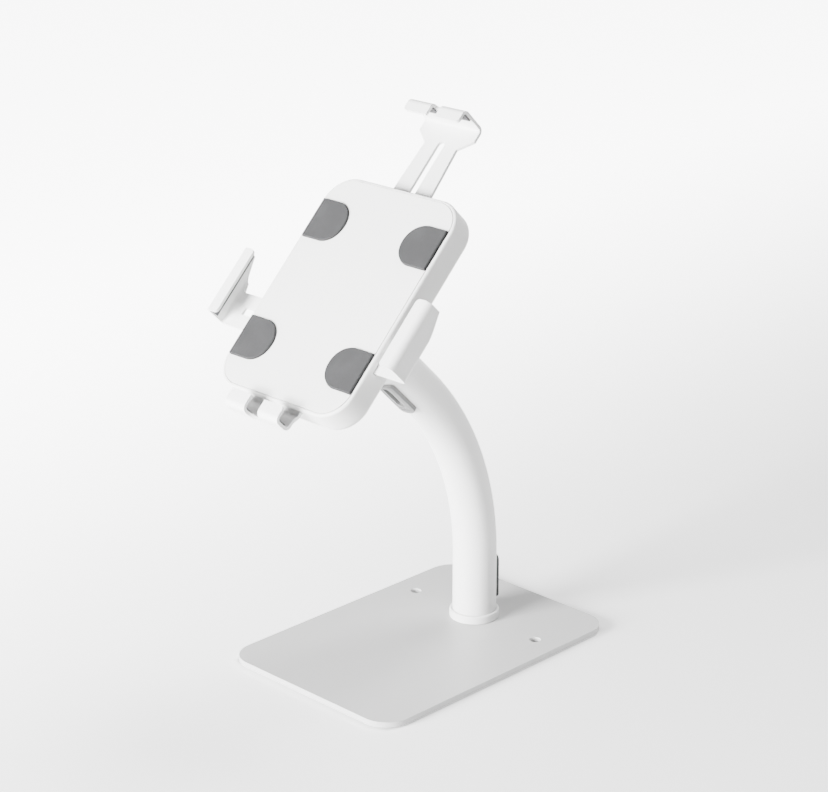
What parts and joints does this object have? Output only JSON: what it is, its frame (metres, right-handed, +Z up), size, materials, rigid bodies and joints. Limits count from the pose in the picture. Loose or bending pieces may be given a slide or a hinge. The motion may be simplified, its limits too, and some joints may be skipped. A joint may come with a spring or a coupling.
{
  "type": "tablet stand",
  "caption": "Desk stand on a flat foot plate: a bent tube carries a tilting, swivelling holder whose sheet clamps slide out to grip a tablet's edges, with a key lock.",
  "frame": {"origin": "centre of the foot's underside, on the desk surface", "axes": "+Z up, the tablet faces -Y, +X to the viewer's right"},
  "size_m": [0.1768, 0.2728, 0.3928],
  "materials": {
    "white_coat": "fine-grained white powder coat",
    "white_plastic": "satin white",
    "grey_rubber": "matte grey",
    "grey_plastic": "satin grey",
    "black_plastic": "satin black",
    "steel": "zinc plated",
    "chrome": "polished"
  },
  "bodies": {
    "stand": {"base_plate": "white_coat", "base_mat": "black_plastic", "foot_plug": "steel", "base_bolt_1": "steel", "base_bolt_2": "steel", "base_bolt_3": "steel", "tube_collar": "white_coat", "tube": "white_coat", "lower_grommet": "grey_rubber", "upper_grommet": "grey_plastic", "tube_end_plug": "white_coat", "plug_screw_1": "steel", "plug_screw_2": "steel"},
    "fork": {"tilt_fork": "white_coat", "hinge_bolt": "steel", "hinge_nut": "steel", "hinge_washer_1": "black_plastic", "hinge_washer_2": "black_plastic", "friction_ring": "black_plastic", "swivel_washer": "steel", "swivel_bolt": "steel", "swivel_nut": "steel"},
    "head": {"rear_shell": "white_plastic", "face_plate": "white_plastic", "grip_pad_1": "grey_rubber", "grip_pad_2": "grey_rubber", "grip_pad_3": "grey_rubber", "grip_pad_4": "grey_rubber", "face_screw_1": "steel", "face_screw_2": "steel", "face_screw_3": "steel", "face_screw_4": "steel", "bottom_clamp": "white_coat", "bottom_liner_1": "grey_rubber", "bottom_liner_2": "grey_rubber", "bottom_screw_1": "steel", "bottom_screw_2": "steel", "left_guide": "black_plastic", "right_guide": "black_plastic", "left_clamp_bolt": "steel", "right_clamp_bolt": "steel", "left_clamp_nut": "steel", "right_clamp_nut": "steel", "top_guide": "black_plastic", "guide_stud": "steel", "stop_pin": "steel", "lock_barrel": "chrome", "lock_nut": "steel"},
    "left_jaw": {"left_clamp": "white_coat", "left_clamp_liner": "grey_rubber"},
    "right_jaw": {"right_clamp": "white_coat", "right_clamp_liner": "grey_rubber"},
    "top_jaw": {"top_clamp": "white_coat", "top_liner_1": "grey_rubber", "top_liner_2": "grey_rubber"},
    "key_plug": {"lock_plug": "chrome", "lock_cam": "steel"},
    "latch": {"latch": "steel"}
  },
  "joints": [
    {"name": "head_tilt", "type": "hinge", "parent": "stand", "child": "fork", "pos_m": [0, -0.04777, 0.23982], "axis": [1, 0, 0], "range_deg": [-35, 25]},
    {"name": "head_swivel", "type": "hinge", "parent": "fork", "child": "head", "pos_m": [0, -0.06368, 0.26633], "axis": [0, -0.7071, 0.7071], "range_deg": [-90, 90]},
    {"name": "left_slide", "type": "slide", "parent": "head", "child": "left_jaw", "axis": [-1, 0, 0], "range_m": [-0.016, 0.012]},
    {"name": "right_slide", "type": "slide", "parent": "head", "child": "right_jaw", "axis": [1, 0, 0], "range_m": [-0.016, 0.012]},
    {"name": "top_slide", "type": "slide", "parent": "head", "child": "top_jaw", "axis": [0, 0.7071, 0.7071], "range_m": [-0.04, 0.008]},
    {"name": "key_turn", "type": "hinge", "parent": "head", "child": "key_plug", "pos_m": [-0.032, -0.03504, 0.29497], "axis": [0, -0.7071, 0.7071], "range_deg": [0, 90]},
    {"name": "latch_slide", "type": "slide", "parent": "head", "child": "latch", "axis": [1, 0, 0], "range_m": [0, 0.003]}
  ],
  "couplings": [
    {"joint": "latch_slide", "follows": "key_turn", "m_per_rad": 0.0019}
  ]
}
